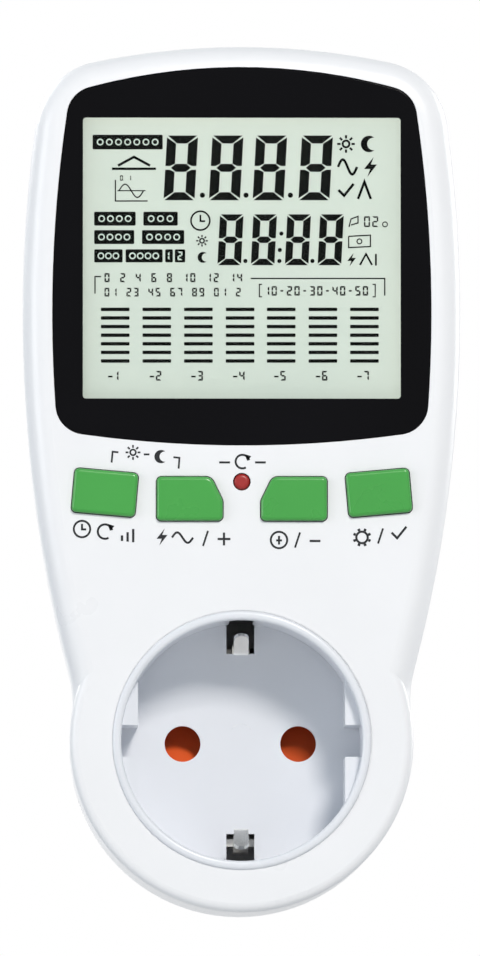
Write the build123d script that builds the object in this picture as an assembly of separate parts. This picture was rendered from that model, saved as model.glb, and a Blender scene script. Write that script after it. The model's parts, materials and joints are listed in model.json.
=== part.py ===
from build123d import *
import math
import os

# Plug-in energy meter: a display and five buttons above a socket, with a plug behind.
# Seen from the front, +X is to the right and +Z is up, and the viewer stands at -Y.
# The origin is the middle of the plug's mating face, halfway between its two pins.
# Lengths are in millimetres.

# Outline of the housing, seen from the front
boss_r = 28.06
body_top_z = 113.7
body_half_width = 35.8
widest_z = 70.0
side_arc_r = 229.0
top_arch_r = 118.0
top_corner_r = 12.0
waist_blend_r = 18.0

# Depths of the housing
plug_reach = 17.0
body_depth = 39.0
front_cover_depth = 22.0
display_step = 7.0
wall = 2.4
display_edge_r = 4.0
boss_edge_r = 1.5
back_edge_r = 3.0
barrel_edge_r = 1.2
barrel_ledge = 0.4
tongue_height = 1.5
tongue_gap = 0.1

# General clearances and the overrun of cuts
running_gap = 0.15
seat_gap = 0.05
board_gap = 0.8
overrun = 1.0

# Display bezel and window
bezel_top_z = 110.1
bezel_bottom_z = 48.1
bezel_margin = 4.8
bezel_arch_r = 95.0
bezel_bottom_r = 190.0
bezel_corner_r = 5.0
bezel_thickness = 1.2
bezel_sink = 0.2
bezel_edge_r = 0.25
view_width = 51.9
view_height = 46.0
view_mid_z = 78.8
view_corner_r = 0.5
window_thickness = 0.6
window_border = 1.5
face_opening_border = 1.0

# Liquid crystal display behind the window
lcd_glass_border = 1.5
lcd_sheet_thickness = 1.1
lcd_ledge = 2.4
lcd_frame_wall = 1.2
lcd_frame_gap = 0.1
zebra_width = 2.0
zebra_end_margin = 3.0
frame_tab_width = 3.0
frame_tab_x = 22.0
frame_tab_end = 0.8

# Printed circuit boards
board_thickness = 1.6
display_board_depth = 7.2
display_board_bottom_z = 27.0
display_board_wall_gap = 0.9
power_board_half_width = 25.5
power_board_bottom_z = 38.0
power_board_top_z = 98.0
power_board_post_height = 2.4

# Push buttons and their switches
button_proud = 1.0
button_travel = 0.5
button_edge_r = 0.6
button_corner_r = 0.8
button_flange = 0.8
button_flange_thickness = 0.8
button_stem_r = 1.6
outer_button_width = 10.4
outer_button_height = 7.2
outer_button_x = 22.35
outer_button_z = 40.4
outer_button_tilt = 5.0
inner_button_width = 10.8
inner_button_height = 7.2
inner_button_x = 8.5
inner_button_z = 39.4
inner_cut_width = 1.9
inner_cut_height = 3.9
inner_cut_r = 1.5
reset_z = 42.2
reset_r = 1.3
reset_proud = 0.2
switch_side = 6.0
switch_height = 3.5
switch_corner_r = 0.6
plunger_r = 1.75
plunger_length = 2.2
plunger_depth = 1.4
plunger_gap = 0.1

# Front socket
recess_r = 19.65
recess_depth = 17.5
recess_flat_x = 16.9
recess_flat_sink = 2.5
key_slot_width = 5.2
cup_r = 21.1
cup_proud = 0.4
cup_lip_edge_r = 0.6
cup_floor_thickness = 2.5
cup_flange_r = 23.2
cup_flange_thickness = 1.4
pin_pitch = 19.0
socket_hole_r = 2.95
clip_slot_width = 4.6
clip_slot_wall_width = 4.0
clip_slot_inner_z = 14.8
clip_slot_rim = 2.0
hook_width = 4.0
hook_thickness = 1.2
hook_nose = 0.9
hook_angles = (90.0, 235.0, 305.0)

# Shutter behind the socket's floor
shutter_thickness = 6.0
shutter_half_width = 13.4
shutter_bar_height = 6.0
shutter_ramp_height = 6.6
shutter_ramp_width = 6.8
shutter_travel = 6.0
guide_wall = 1.2
guide_gap = 0.2
guide_end_gap = 0.3
guide_hole_r = 2.9
guide_web_height = 4.4
spring_r = 1.6
spring_wire_r = 0.2
spring_turns = 8
spring_pocket_r = 2.2
spring_pocket_depth = 4.6

# Contacts of the socket
carrier_depth = 10.0
carrier_half_width = 13.4
carrier_half_height = 8.0
carrier_corner_r = 3.0
carrier_ear_thickness = 2.2
ear_x = 18.6
ear_z = 6.5
ear_r = 2.2
contact_bore_r = 2.5
contact_wall = 0.6
contact_slit = 1.2
contact_end_thickness = 0.8
earth_strip_width = 2.4
earth_strip_thickness = 0.6
clip_root_z = 17.6
clip_nose_z = 14.3
clip_tip_z = 17.4
clip_nose_depth = 9.0
clip_tip_depth = 4.6
clip_root_depth = 15.0
clip_bend_r = 1.2
clip_tip_r = 1.1

# Plug behind the housing
plug_r = 19.1
plug_flat_x = 16.4
plug_key_width = 4.4
plug_edge_r = 0.8
plug_wall = 2.4
plug_end_wall = 3.5
pin_r = 2.4
pin_length = 19.0
pin_neck_r = 2.0
pin_tip_r = 1.9
pin_collar_r = 3.3
pin_collar_thickness = 1.5
pin_tail_r = 2.0
pin_tail_length = 6.5
retainer_thickness = 3.0
retainer_half_width = 13.6
retainer_half_height = 5.0
retainer_corner_r = 3.0
retainer_post_r = 2.2
retainer_screw_z = 9.0
retainer_ear_r = 2.6
earth_groove_width = 5.2
earth_groove_depth = 1.1
earth_plate_width = 4.0
earth_plate_thickness = 0.8
earth_plate_end_gap = 1.0
earth_plate_depth = 13.4
earth_bend_r = 1.0
earth_post_r = 1.5
busbar_width = 4.0
busbar_thickness = 1.0

# Screws
screw_r = 1.2
screw_hole_gap = 0.05
screw_head_r = 2.0
screw_head_height = 1.5
screw_recess_width = 0.6
screw_recess_length = 2.4
screw_recess_depth = 0.8
case_boss_r = 2.2
case_screw_bite = 8.0
case_seat_depth = 3.5
case_seat_gap = 0.3
case_well_wall = 1.2
upper_case_screw = (16.0, 107.4)
middle_case_screw = (29.3, 48.2)
lower_case_screw = (21.0, -12.2)
small_screw_r = 0.9
small_head_r = 1.8
small_head_height = 1.1
small_screw_bite = 4.5
board_post_r = 1.9
upper_board_screw = (23.8, 106.7)
lower_board_screw = (25.4, 30.6)
power_screw_inset = 3.0

# Parts on the power board
capacitor_size = (18.0, 8.5, 12.0)
capacitor_place = (-13.0, 87.0)
capacitor_edge_r = 0.8
varistor_r = 5.5
varistor_thickness = 4.0
varistor_lift = 0.8
lead_width = 0.8
lead_spacing = 7.5
varistor_place = (8.0, 88.0)
reservoir_r = 4.0
reservoir_height = 11.0
reservoir_place = (18.0, 76.0)
chip_size = (7.5, 15.4, 2.3)
chip_place = (4.0, 60.0)
crystal_size = (10.5, 3.8, 3.5)
crystal_place = (15.5, 60.0)
shunt_width = 4.0
shunt_span = 11.0
shunt_height = 5.0
shunt_thickness = 0.9
shunt_place = (-14.0, 54.0)
battery_r = 5.6
battery_length = 15.0
battery_place = (-8.0, 72.0)
header_pins = 8
header_pitch = 2.54
header_pin_width = 0.64
header_block_height = 2.5
header_place = (8.0, 49.0)
header_block_width = 2.5
terminal_size = (5.0, 6.0, 7.0)
terminal_margin = 1.0
terminal_screw_r = 1.5
live_in_x = -11.0
live_out_x = -17.0
neutral_x = 12.0
controller_size = (9.0, 9.0, 1.5)
controller_place = (-12.0, 70.0)

# Inner wires
wire_r = 0.8
live_in_lead = 2.8
live_out_lead = 1.95
live_in_rise = 7.0
live_in_shift = 3.5
live_out_rise = 7.5
neutral_rise = 7.0
wire_turn_z = 27.0
wire_bend_share = 0.45

# Places worked out along the depth
back_y = -plug_reach
front_y = back_y - body_depth
split_y = front_y + front_cover_depth
groove_y = split_y + tongue_height + tongue_gap
face_in_y = front_y + wall
display_back_y = back_y - display_step
display_back_in_y = display_back_y - wall
bezel_pocket_depth = bezel_sink + bezel_thickness
lcd_front_y = face_in_y + seat_gap
lcd_back_y = lcd_front_y + 2 * lcd_sheet_thickness
board_front_y = face_in_y + display_board_depth
board_back_y = board_front_y + board_thickness
power_back_y = display_back_in_y - power_board_post_height
power_front_y = power_back_y - board_thickness
cup_floor_y = front_y + recess_depth
cup_back_y = cup_floor_y + cup_floor_thickness
shutter_front_y = cup_back_y + guide_gap
shutter_back_y = shutter_front_y + shutter_thickness
guide_floor_y = shutter_back_y + guide_gap
guide_back_y = guide_floor_y + guide_wall
carrier_front_y = guide_back_y + seat_gap
carrier_back_y = carrier_front_y + carrier_depth
plug_inner_y = -plug_end_wall
collar_back_y = plug_inner_y - pin_collar_thickness
pin_tail_y = collar_back_y - pin_tail_length
plunger_front_y = board_front_y - switch_height - plunger_length + plunger_depth
contact_end_y = carrier_back_y - contact_end_thickness
half_pitch = pin_pitch / 2


def plane_at(y):
    """A drawing plane that faces the viewer, with X to the right and Z up."""
    return Plane(origin=(0, y, 0), x_dir=(1, 0, 0), z_dir=(0, -1, 0))


def slab(outline, y_front, y_back):
    """An outline seen from the front, made solid between two depths."""
    return extrude(plane_at(y_front) * outline, amount=y_back - y_front, dir=(0, 1, 0))


def disc(x, z, r, y_front, y_back):
    """A round bar along the depth."""
    return slab(Pos(x, z) * Circle(r), y_front, y_back)


def block(x, z, width, height, y_front, y_back):
    """A plain block along the depth."""
    return slab(Pos(x, z) * Rectangle(width, height), y_front, y_back)


def both_sides(place):
    """The place itself and its mirror image across the middle."""
    x, z = place
    return [(-x, z), (x, z)]


def body_outline(inset=0):
    """Crowned display end on top of a round socket end, with a blended waist."""
    outline = Pos(0, body_top_z - top_arch_r) * Circle(top_arch_r - inset)
    for side in (-1, 1):
        outline &= Pos(side * (body_half_width - side_arc_r), widest_z) * Circle(side_arc_r - inset)
    outline &= Pos(0, body_top_z / 2) * Rectangle(2 * body_half_width, body_top_z)
    outline = fillet(outline.vertices().sort_by(Axis.Y)[-2:], top_corner_r - inset)
    outline += Rot(0, 0, -90) * Circle(boss_r - inset)
    waist = [corner for corner in outline.vertices() if seat_gap < corner.Y < boss_r]
    return fillet(waist, waist_blend_r + inset)


def bezel_outline(inset=0):
    """Black display frame: its sides run parallel to the housing's sides."""
    side_r = side_arc_r - bezel_margin - inset
    side_x = body_half_width - side_arc_r
    outline = Pos(0, bezel_top_z - bezel_arch_r) * Circle(bezel_arch_r - inset)
    outline &= Pos(0, bezel_bottom_z + bezel_bottom_r) * Circle(bezel_bottom_r - inset)
    for side in (-1, 1):
        outline &= Pos(side * side_x, widest_z) * Circle(side_r)
    corners = [corner for corner in outline.vertices() if abs(corner.Y - widest_z) > bezel_margin]
    return fillet(corners, bezel_corner_r - inset)


def view_outline(border):
    """Rectangle of the display's view, larger by a border all round."""
    width = view_width + 2 * border
    height = view_height + 2 * border
    return Pos(0, view_mid_z) * RectangleRounded(width, height, view_corner_r)


def outer_button_outline(side):
    """Rounded key that tilts down towards the middle."""
    key = RectangleRounded(outer_button_width, outer_button_height, button_corner_r)
    return Pos(side * outer_button_x, outer_button_z) * Rot(0, 0, side * outer_button_tilt) * key


def inner_button_outline(side):
    """Rounded key whose upper inner corner is swept away beside the reset button."""
    half_w = inner_button_width / 2
    half_h = inner_button_height / 2
    corners = [
        (half_w, -half_h),
        (half_w, half_h),
        (inner_cut_width - half_w, half_h),
        (-half_w, half_h - inner_cut_height),
        (-half_w, -half_h),
    ]
    key = make_face(Polyline(*corners, close=True))
    inner = [corner for corner in key.vertices() if corner.X < 0 and corner.Y > -half_h / 2]
    key = fillet(inner, inner_cut_r)
    outer = [corner for corner in key.vertices() if abs(abs(corner.Y) - half_h) < seat_gap]
    square = [corner for corner in outer if abs(abs(corner.X) - half_w) < seat_gap]
    key = fillet(square, button_corner_r)
    if side < 0:
        key = mirror(key, about=Plane.YZ)
    return Pos(side * inner_button_x, inner_button_z) * key


def reset_outline():
    """Small round reset button."""
    return Pos(0, reset_z) * Circle(reset_r)


def case_screw_places():
    """Six screws hold the two covers together."""
    places = []
    for place in (upper_case_screw, middle_case_screw, lower_case_screw):
        places += both_sides(place)
    return places


def case_floor_y(z):
    """Outside of the back where a case screw goes in: the barrel is deeper than the display end."""
    return back_y if z < boss_r else display_back_y


def board_screw_places():
    """Four screws hold the display board to the front cover."""
    return both_sides(upper_board_screw) + both_sides(lower_board_screw)


def power_screw_places():
    """Four screws hold the power board to the rear cover."""
    x = power_board_half_width - power_screw_inset
    lower = power_board_bottom_z + power_screw_inset
    upper = power_board_top_z - power_screw_inset
    return both_sides((x, lower)) + both_sides((x, upper))


def ear_places():
    """Four ears beside the pin holes, where the carrier and the guide are screwed to the cup."""
    return both_sides((ear_x, -ear_z)) + both_sides((ear_x, ear_z))


def bar(x, z, r, y_one, y_other):
    """A round bar along the depth, with its ends in either order."""
    return disc(x, z, r, min(y_one, y_other), max(y_one, y_other))


def screw(place, seat_y, length, shank_r, head_r, head_height, way):
    """Pan head screw with a cross recess; way is +1 with its head at the back, -1 with it in front."""
    x, z = place
    top_y = seat_y + way * head_height
    head = bar(x, z, head_r, seat_y, top_y)
    crown = head.edges().sort_by(Axis.Y)[-1 if way > 0 else 0]
    head = fillet(crown, head_height / 2)
    body = head + bar(x, z, shank_r, seat_y - way * length, seat_y)
    scale = head_r / screw_head_r
    ends = sorted((top_y - way * screw_recess_depth * scale, top_y + way * overrun))
    for angle in (0, 90):
        slot = Rot(0, 0, angle) * Rectangle(screw_recess_length * scale, screw_recess_width * scale)
        body -= slab(Pos(x, z) * slot, *ends)
    return body


def screws(places, seat_y, length, shank_r, head_r, head_height, way):
    """A set of like screws."""
    return [screw(place, seat_y, length, shank_r, head_r, head_height, way) for place in places]


def front_cover():
    """Front shell: display face with its pocket and key holes, and the socket's round collar."""
    outline = body_outline()
    shell = slab(outline, front_y, split_y)
    shell = fillet(shell.faces().sort_by(Axis.Y)[0].edges(), display_edge_r)
    collar = slab(Rot(0, 0, -90) * Circle(boss_r), front_y, split_y)
    collar = fillet(collar.faces().sort_by(Axis.Y)[0].edges(), boss_edge_r)
    shell += collar
    inside = body_outline(wall)
    shell -= slab(inside, face_in_y, split_y + overrun)
    tongue = body_outline(wall / 2) - inside
    shell += slab(tongue, split_y - wall, split_y + tongue_height)
    core = slab(body_outline(wall / 2), front_y + wall / 2, groove_y)
    for x, z in case_screw_places():
        shell += disc(x, z, case_boss_r, front_y, groove_y) & core
    for x, z in board_screw_places():
        shell += disc(x, z, board_post_r, front_y, board_front_y) & core
    for angle in hook_angles:
        shell += snap_hook(angle)
    return cut_front_cover(shell)


def cut_front_cover(shell):
    """Openings of the front shell: display, keys, socket and screw holes."""
    shell -= slab(bezel_outline(), front_y - overrun, front_y + bezel_pocket_depth)
    shell -= slab(view_outline(face_opening_border), front_y, face_in_y + overrun)
    shell -= disc(0, 0, cup_r + running_gap, front_y - overrun, split_y + overrun)
    for outline_of_key, _, _ in button_keys().values():
        shell -= slab(offset(outline_of_key, amount=running_gap), front_y - overrun, face_in_y + overrun)
    for x, z in case_screw_places():
        tip_y = groove_y - case_screw_bite - overrun
        shell -= disc(x, z, screw_r + screw_hole_gap, tip_y, groove_y + overrun)
    for x, z in board_screw_places():
        tip_y = board_front_y - small_screw_bite - overrun / 2
        shell -= disc(x, z, small_screw_r + screw_hole_gap, tip_y, board_front_y + overrun)
    return shell


def snap_hook(angle):
    """Hook behind the front face that catches the cup's flange."""
    catch_y = face_in_y + seat_gap + cup_flange_thickness + seat_gap
    inner = cup_flange_r + running_gap
    leg = Pos(inner + hook_thickness / 2, 0) * Rectangle(hook_thickness, hook_width)
    nose_length = hook_thickness + hook_nose + running_gap
    nose = Pos(inner + hook_thickness - nose_length / 2, 0) * Rectangle(nose_length, hook_width)
    turn = Rot(0, 0, angle)
    hook = slab(turn * leg, face_in_y - wall / 2, catch_y + hook_thickness)
    return hook + slab(turn * nose, catch_y, catch_y + hook_thickness)


def plug_outline(inset):
    """Plug end seen along the pins: a circle with two flats, each with a key in its middle."""
    radius = plug_r - inset
    outline = Circle(radius) & Rectangle(2 * (plug_flat_x - inset), 2 * plug_r)
    key = Circle(radius) & Rectangle(2 * plug_r, plug_key_width - inset)
    return outline + key


def rear_cover():
    """Rear shell: a stepped back, the plug's hollow spigot, screw wells and board posts."""
    outline = body_outline()
    shell = slab(outline, split_y, display_back_y)
    shell = fillet(shell.faces().sort_by(Axis.Y)[-1].edges(), back_edge_r)
    barrel = slab(Rot(0, 0, -90) * Circle(boss_r), split_y, back_y)
    barrel = fillet(barrel.faces().sort_by(Axis.Y)[-1].edges(), barrel_edge_r)
    spigot = slab(plug_outline(0), back_y - wall, 0)
    spigot = fillet(spigot.faces().sort_by(Axis.Y)[-1].edges(), plug_edge_r)
    shell += barrel
    shell += spigot
    for hollow in rear_hollows():
        shell -= hollow
    shell -= slab(plug_outline(plug_wall), back_y - wall - overrun, plug_inner_y)
    for x, z in power_screw_places():
        shell += disc(x, z, board_post_r, power_back_y, display_back_y - wall / 2)
    for side in (-1, 1):
        shell += disc(0, side * retainer_screw_z, retainer_post_r, collar_back_y, plug_inner_y / 2)
    return cut_rear_cover(shell)


def around(places, r):
    """Front view of round bosses that a hollow leaves standing."""
    return [Pos(x, z) * Circle(r) for x, z in places]


def rear_hollows():
    """Hollow of the rear shell in layers, which leave the screw bosses and their wider wells."""
    upper = both_sides(upper_case_screw) + both_sides(middle_case_screw)
    lower = both_sides(lower_case_screw)
    well_r = screw_head_r + case_seat_gap + case_well_wall
    well_depth = case_seat_depth + case_well_wall
    inside = body_outline(wall)
    barrel = Rot(0, 0, -90) * Circle(boss_r - wall - barrel_ledge)
    groove = body_outline(wall / 2 - tongue_gap)
    upper_well_y = display_back_y - well_depth
    lower_well_y = back_y - well_depth
    return [
        slab(groove, split_y - overrun, groove_y),
        slab(inside - around(upper + lower, case_boss_r), groove_y - tongue_gap, upper_well_y),
        slab(inside - around(upper, well_r) - around(lower, case_boss_r), upper_well_y, display_back_in_y),
        slab(barrel - around(lower, case_boss_r), display_back_in_y, lower_well_y),
        slab(barrel - around(lower, well_r), lower_well_y, back_y - wall),
    ]


def cut_rear_cover(shell):
    """Cuts of the rear shell: screw holes, pin holes and earth grooves."""
    for x, z in case_screw_places():
        floor_y = case_floor_y(z)
        shell -= disc(x, z, screw_r + screw_hole_gap, split_y - overrun, floor_y)
        shell -= disc(x, z, screw_head_r + case_seat_gap, floor_y - case_seat_depth, floor_y + overrun)
    for x, z in power_screw_places():
        tip_y = power_back_y + small_screw_bite - board_thickness
        shell -= disc(x, z, small_screw_r + screw_hole_gap, power_back_y - overrun, tip_y)
    for side in (-1, 1):
        shell -= disc(side * half_pitch, 0, pin_r + seat_gap, plug_inner_y - overrun, overrun)
        tip_y = collar_back_y - retainer_thickness + small_screw_bite + 2 * seat_gap
        place = (0, side * retainer_screw_z)
        shell -= disc(*place, small_screw_r + screw_hole_gap, collar_back_y - overrun, tip_y)
        shell -= earth_groove(side)
    return shell


def earth_groove(side):
    """Groove outside the plug for its earth plate, and the slot where the plate goes in."""
    floor_z = plug_r - earth_groove_depth
    height = earth_groove_depth + overrun
    end_y = -earth_plate_depth - earth_plate_thickness
    groove = block(0, side * (floor_z + height / 2), earth_groove_width, height, end_y, overrun)
    slot_height = earth_groove_depth + plug_wall + overrun
    slot_z = plug_r + overrun / 2 - slot_height / 2
    slot_width = earth_plate_width + 2 * running_gap
    slot_front_y = end_y + earth_plate_thickness - running_gap
    slot_back_y = earth_plate_thickness + earth_bend_r - earth_plate_depth
    return groove + block(0, side * slot_z, slot_width, slot_height, slot_front_y, slot_back_y)


def display_bezel():
    """Black frame with a rebate at its back for the clear window."""
    back = front_y + bezel_pocket_depth
    frame = slab(bezel_outline(seat_gap), front_y + bezel_sink, back)
    frame = fillet(frame.faces().sort_by(Axis.Y)[0].edges(), bezel_edge_r)
    frame -= slab(view_outline(0), front_y, back)
    frame -= slab(view_outline(window_border), back - window_thickness, back + overrun)
    return frame


def display_window():
    """Clear sheet that lies in the bezel's rebate."""
    back = front_y + bezel_pocket_depth
    return slab(offset(view_outline(window_border), amount=-seat_gap), back - window_thickness, back)


def glass_outline(inset_height):
    """Outline of a glass sheet of the display."""
    width = view_width + 2 * lcd_glass_border
    height = view_height + 2 * lcd_glass_border - 2 * inset_height
    return Pos(0, view_mid_z) * Rectangle(width, height)


def lcd_glass():
    """Two glass sheets; the front one stands out above and below as contact ledges."""
    glass = slab(glass_outline(0), lcd_front_y, lcd_front_y + lcd_sheet_thickness)
    return glass + slab(glass_outline(lcd_ledge), lcd_front_y + lcd_sheet_thickness, lcd_back_y)


def lcd_backlight():
    """Light box between the glass and the board."""
    outline = offset(glass_outline(lcd_ledge), amount=-lcd_frame_gap)
    return slab(outline, lcd_back_y, board_front_y)


def zebra_strips():
    """Rubber contact strips from the glass ledges to the board."""
    width = view_width + 2 * lcd_glass_border - 2 * zebra_end_margin
    reach = view_height / 2 + lcd_glass_border - lcd_ledge / 2
    front = lcd_front_y + lcd_sheet_thickness
    zs = [view_mid_z - reach, view_mid_z + reach]
    return [block(0, z, width, zebra_width, front, board_front_y) for z in zs]


def frame_tabs(gap):
    """Front view of the four tabs that go from the display frame through the board."""
    reach = view_height / 2 + lcd_glass_border + lcd_frame_gap + lcd_frame_wall / 2
    tab = Rectangle(frame_tab_width + 2 * gap, lcd_frame_wall + 2 * gap)
    tops = [Pos(x, view_mid_z + reach) * tab for x in (-frame_tab_x, frame_tab_x)]
    return tops + [Pos(x, view_mid_z - reach) * tab for x in (-frame_tab_x, frame_tab_x)]


def lcd_frame():
    """Frame that holds the glass and the light box against the board."""
    outer = offset(glass_outline(0), amount=lcd_frame_gap + lcd_frame_wall)
    inner = offset(glass_outline(0), amount=lcd_frame_gap)
    frame = slab(outer - inner, face_in_y + seat_gap, board_front_y)
    for tab in frame_tabs(0):
        frame += slab(tab, board_front_y - lcd_frame_wall, board_back_y + frame_tab_end)
    return frame


def display_pcb():
    """Front board: follows the housing's outline, notched round the case screw bosses."""
    outline = body_outline(wall + display_board_wall_gap)
    height = body_top_z - display_board_bottom_z
    middle = display_board_bottom_z + height / 2
    outline &= Pos(0, middle) * Rectangle(2 * body_half_width, height)
    board = slab(outline, board_front_y, board_back_y)
    for x, z in case_screw_places():
        board -= disc(x, z, case_boss_r + board_gap, board_front_y - overrun, board_back_y + overrun)
    for x, z in board_screw_places():
        board -= disc(x, z, small_screw_r + running_gap, board_front_y - overrun, board_back_y + overrun)
    for tab in frame_tabs(running_gap):
        board -= slab(tab, board_front_y - overrun, board_back_y + overrun)
    return board


def display_controller():
    """Controller chip on the back of the display board."""
    x, z = controller_place
    width, height, thickness = controller_size
    chip = block(x, z, width, height, board_back_y, board_back_y + thickness)
    return chamfer(chip.faces().sort_by(Axis.Y)[-1].edges(), thickness / 4)


def button_keys():
    """Every button's name, its outline, the place of its switch and how far it stands out."""
    return {
        "history_button": (outer_button_outline(-1), (-outer_button_x, outer_button_z), button_proud),
        "energy_button": (inner_button_outline(-1), (-inner_button_x, inner_button_z), button_proud),
        "cost_button": (inner_button_outline(1), (inner_button_x, inner_button_z), button_proud),
        "set_button": (outer_button_outline(1), (outer_button_x, outer_button_z), button_proud),
        "reset_button": (reset_outline(), (0, reset_z), reset_proud),
    }


def button(outline, place, proud):
    """Key cap with a flange behind the face and a stem down to its switch."""
    flange_y = face_in_y + seat_gap
    stem_y = flange_y + button_flange_thickness
    cap = slab(outline, front_y - proud, stem_y)
    cap = fillet(cap.faces().sort_by(Axis.Y)[0].edges(), min(button_edge_r, reset_r / 2))
    flange = slab(offset(outline, amount=button_flange), flange_y, stem_y)
    return cap + flange + disc(*place, button_stem_r, flange_y, plunger_front_y)


def plunger(place):
    """Plunger of a push switch; the button's stem rests on it."""
    return disc(*place, plunger_r, plunger_front_y, plunger_front_y + plunger_length)


def switch_bodies():
    """Push switch bodies on the display board, one behind each button."""
    bodies = []
    top_y = board_front_y - switch_height
    floor_y = top_y + plunger_depth + button_travel + plunger_gap
    for _, (x, z), _ in button_keys().values():
        outline = Pos(x, z) * RectangleRounded(switch_side, switch_side, switch_corner_r)
        body = slab(outline, top_y, board_front_y)
        bodies.append(body - disc(x, z, plunger_r + plunger_gap, top_y - overrun, floor_y))
    return bodies


def recess_outline():
    """Socket recess seen from the front: a circle with two flats, each with a key slot."""
    outline = Circle(recess_r) & Rectangle(2 * recess_flat_x, 2 * recess_r)
    return outline + (Circle(recess_r) & Rectangle(2 * recess_r, key_slot_width))


def socket_cup():
    """Socket insert: lip, flange, recess with flats, pin holes and slots for the earth clips."""
    cup = disc(0, 0, cup_r, front_y - cup_proud, cup_back_y)
    flange_y = face_in_y + seat_gap
    flange = disc(0, 0, cup_flange_r, flange_y, flange_y + cup_flange_thickness)
    for x, z in both_sides(lower_case_screw):
        flange -= disc(x, z, case_boss_r + running_gap, front_y, split_y)
    cup += flange
    cup -= disc(0, 0, recess_r, front_y - cup_proud - overrun, front_y + recess_flat_sink)
    cup = fillet(cup.faces().sort_by(Axis.Y)[0].edges(), cup_lip_edge_r)
    cup -= slab(recess_outline(), front_y, cup_floor_y)
    for side in (-1, 1):
        cup -= disc(side * half_pitch, 0, socket_hole_r, cup_floor_y - overrun, cup_back_y + overrun)
        cup -= clip_slot(side)
    for x, z in ear_places():
        tip_y = cup_back_y - small_screw_bite - overrun
        cup -= disc(x, z, small_screw_r + screw_hole_gap, tip_y, cup_back_y + overrun)
    return cup


def clip_slot(side):
    """Slot in the floor and in the wall that an earth clip stands in."""
    floor_height = cup_r - clip_slot_inner_z - cup_lip_edge_r
    floor_z = clip_slot_inner_z + floor_height / 2
    back = cup_back_y + overrun
    slot = block(0, side * floor_z, clip_slot_width, floor_height, cup_floor_y - overrun, back)
    wall_height = cup_r - recess_r + 2 * overrun
    wall_z = recess_r - overrun + wall_height / 2
    return slot + block(0, side * wall_z, clip_slot_wall_width, wall_height, front_y + clip_slot_rim, back)


def side_plane(x):
    """A drawing plane seen from the right, with the depth to the right and Z up."""
    return Plane(origin=(x, 0, 0), x_dir=(0, 1, 0), z_dir=(1, 0, 0))


def across(outline, x, width):
    """An outline seen from the side, made solid across a width."""
    return extrude(side_plane(x) * outline, amount=width / 2, both=True)


def shutter_slider():
    """Shutter: two ramps close the pin holes, on a bar with a pocket for the spring."""
    half = shutter_ramp_height / 2
    ramp = make_face(
        Polyline(
            (shutter_front_y, -half),
            (shutter_back_y, half),
            (shutter_back_y, -half),
            close=True,
        )
    )
    bar_z = -half - shutter_bar_height / 2
    slider = block(0, bar_z, 2 * shutter_half_width, shutter_bar_height, shutter_front_y, shutter_back_y)
    for side in (-1, 1):
        slider += across(ramp, side * half_pitch, shutter_ramp_width)
    foot_z = bar_z - shutter_bar_height / 2
    middle_y = (shutter_front_y + shutter_back_y) / 2
    pocket = Pos(0, middle_y, foot_z) * Cylinder(spring_pocket_r, 2 * spring_pocket_depth)
    return slider - pocket


def shutter_ends():
    """Lowest place of the open shutter, and the guide's inner top."""
    lowest = -shutter_ramp_height / 2 - shutter_bar_height - shutter_travel
    return lowest - guide_end_gap, shutter_ramp_height / 2 + guide_end_gap


def shutter_spring():
    """Compression spring between the guide's floor and the shutter's pocket."""
    floor_z, _ = shutter_ends()
    pocket_z = -shutter_ramp_height / 2 - shutter_bar_height + spring_pocket_depth
    inset = spring_wire_r + seat_gap
    height = pocket_z - floor_z - 2 * inset
    middle_y = (shutter_front_y + shutter_back_y) / 2
    path = Helix(height / spring_turns, height, spring_r, center=(0, middle_y, floor_z + inset))
    section = Plane(origin=path @ 0, z_dir=path % 0) * Circle(spring_wire_r)
    return sweep(section, path=path, is_frenet=True)


def ear_web(x, z):
    """Front view of an ear and the web that carries it."""
    web = Pos(x / 2, z) * Rectangle(abs(x), guide_web_height)
    return Pos(x, z) * Circle(ear_r) + web


def shutter_guide():
    """Tray that the shutter slides in, screwed behind the cup's floor."""
    low_z, high_z = shutter_ends()
    inner_width = 2 * (shutter_half_width + guide_gap)
    inner = Pos(0, (low_z + high_z) / 2) * Rectangle(inner_width, high_z - low_z)
    outer = offset(inner, amount=guide_wall, kind=Kind.INTERSECTION)
    front = cup_back_y + seat_gap
    tray = slab(outer, front, guide_back_y)
    for x, z in ear_places():
        tray += slab(ear_web(x, z), front, guide_back_y)
    tray -= slab(inner, front - overrun, guide_floor_y)
    for side in (-1, 1):
        tray -= disc(side * half_pitch, 0, guide_hole_r, guide_floor_y - overrun, guide_back_y + overrun)
    for x, z in ear_places():
        tray -= disc(x, z, small_screw_r + screw_hole_gap, front - overrun, guide_back_y + overrun)
    return tray


def contact_carrier():
    """Moulded block that holds both contacts and the middle of the earth strap."""
    outline = RectangleRounded(2 * carrier_half_width, 2 * carrier_half_height, carrier_corner_r)
    carrier = slab(outline, carrier_front_y, carrier_back_y)
    ear_back_y = carrier_front_y + carrier_ear_thickness
    hole_r = small_screw_r + screw_hole_gap
    for x, z in ear_places():
        carrier += slab(ear_web(x, z), carrier_front_y, ear_back_y)
        carrier -= disc(x, z, hole_r, carrier_front_y - overrun, ear_back_y + overrun)
    contact_r = contact_bore_r + contact_wall + seat_gap
    for side in (-1, 1):
        carrier -= disc(side * half_pitch, 0, contact_r, carrier_front_y - overrun, carrier_back_y + overrun)
    groove_width = earth_strip_width + 2 * running_gap
    groove_y = carrier_front_y + earth_strip_thickness + seat_gap
    carrier -= block(0, 0, groove_width, 2 * cup_r, carrier_front_y - overrun, groove_y)
    carrier -= disc(0, 0, earth_post_r + running_gap, carrier_front_y, carrier_back_y + overrun)
    return carrier


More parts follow.
